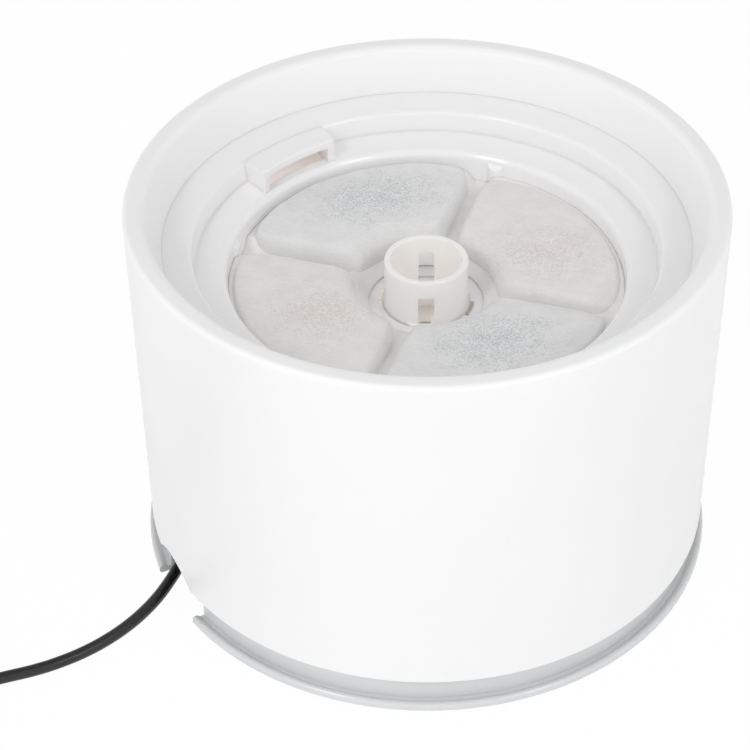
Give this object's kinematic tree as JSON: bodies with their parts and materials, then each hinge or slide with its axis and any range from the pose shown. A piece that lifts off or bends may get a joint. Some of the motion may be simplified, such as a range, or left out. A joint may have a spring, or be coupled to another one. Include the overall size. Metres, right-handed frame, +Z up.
{
  "type": "pet water fountain",
  "caption": "Round pet water fountain with its drinking lid off: open drum, stepped tray with pouch filter, twist collar, submersible pump and low-voltage lead.",
  "frame": {"origin": "on the floor under the drum's axis", "axes": "+Z up along the drum's axis; -Y is the front, with the lead's gap at the front left; +X to the right"},
  "size_m": [0.3115, 0.1914, 0.133],
  "materials": {
    "drum_plastic": "satin white",
    "tray_plastic": "satin white",
    "collar_plastic": "translucent natural",
    "filter_fleece": "bonded fleece",
    "carbon_pouch_fleece": "fleece over charcoal granules",
    "resin_pouch_fleece": "fleece over resin granules",
    "foot_plastic": "satin light grey",
    "pump_plastic": "fine grain black",
    "impeller_plastic": "satin white",
    "magnet_ferrite": "ground ferrite",
    "shaft_ceramic": "polished ceramic",
    "dark_rubber": "matt",
    "core_steel": "laminated",
    "coil_copper": "enamelled wire",
    "potting_resin": "cast epoxy",
    "screw_steel": "zinc plated",
    "lead_sheath": "satin black",
    "plug_steel": "nickel plated",
    "plug_insulator": "white"
  },
  "bodies": {
    "stand": {"drum": "drum_plastic", "tank": "drum_plastic", "pump_body": "pump_plastic", "impeller_shaft": "shaft_ceramic", "rear_bushing": "dark_rubber", "stator_core": "core_steel", "stator_coils": "coil_copper", "pump_potting": "potting_resin", "pump_cups": "dark_rubber", "lead_gland": "dark_rubber", "floor_grommet": "dark_rubber", "foot": "foot_plastic", "foot_screws": "screw_steel", "foot_pads": "dark_rubber", "lead_clamp": "foot_plastic", "clamp_screws": "screw_steel", "pump_lead": "lead_sheath", "cord_lead": "lead_sheath", "cord_coil": "lead_sheath", "cord_tail": "lead_sheath", "coil_tie": "dark_rubber", "plug_grip": "lead_sheath", "plug_shell": "plug_steel", "plug_tongue": "plug_insulator"},
    "tray": {"filter_tray": "tray_plastic", "tray_rim": "tray_plastic", "overflow_box": "tray_plastic"},
    "filter": {"filter_frame": "filter_fleece", "filter_backing": "filter_fleece", "carbon_pouch_back": "carbon_pouch_fleece", "resin_pouch_left": "resin_pouch_fleece", "carbon_pouch_front": "carbon_pouch_fleece", "resin_pouch_right": "resin_pouch_fleece"},
    "collar": {"riser_collar": "collar_plastic"},
    "cover": {"pump_cover": "pump_plastic", "front_bushing": "dark_rubber"},
    "rotor": {"impeller": "impeller_plastic", "rotor_magnet": "magnet_ferrite"}
  },
  "joints": [
    {"name": "tray_lift", "type": "slide", "parent": "stand", "child": "tray", "axis": [0, 0, 1], "range_m": [0, 0.075]},
    {"name": "filter_lift", "type": "slide", "parent": "tray", "child": "filter", "axis": [0, 0, 1], "range_m": [0, 0.05]},
    {"name": "collar_twist", "type": "hinge", "parent": "tray", "child": "collar", "pos_m": [0, 0, 0.0912], "axis": [0, 0, 1], "range_deg": [0, 45]},
    {"name": "cover_pull", "type": "slide", "parent": "stand", "child": "cover", "axis": [0, -1, 0], "range_m": [0, 0.014]},
    {"name": "impeller_spin", "type": "hinge", "parent": "stand", "child": "rotor", "pos_m": [0, 0, 0.0474], "axis": [0, 1, 0], "continuous": true}
  ]
}
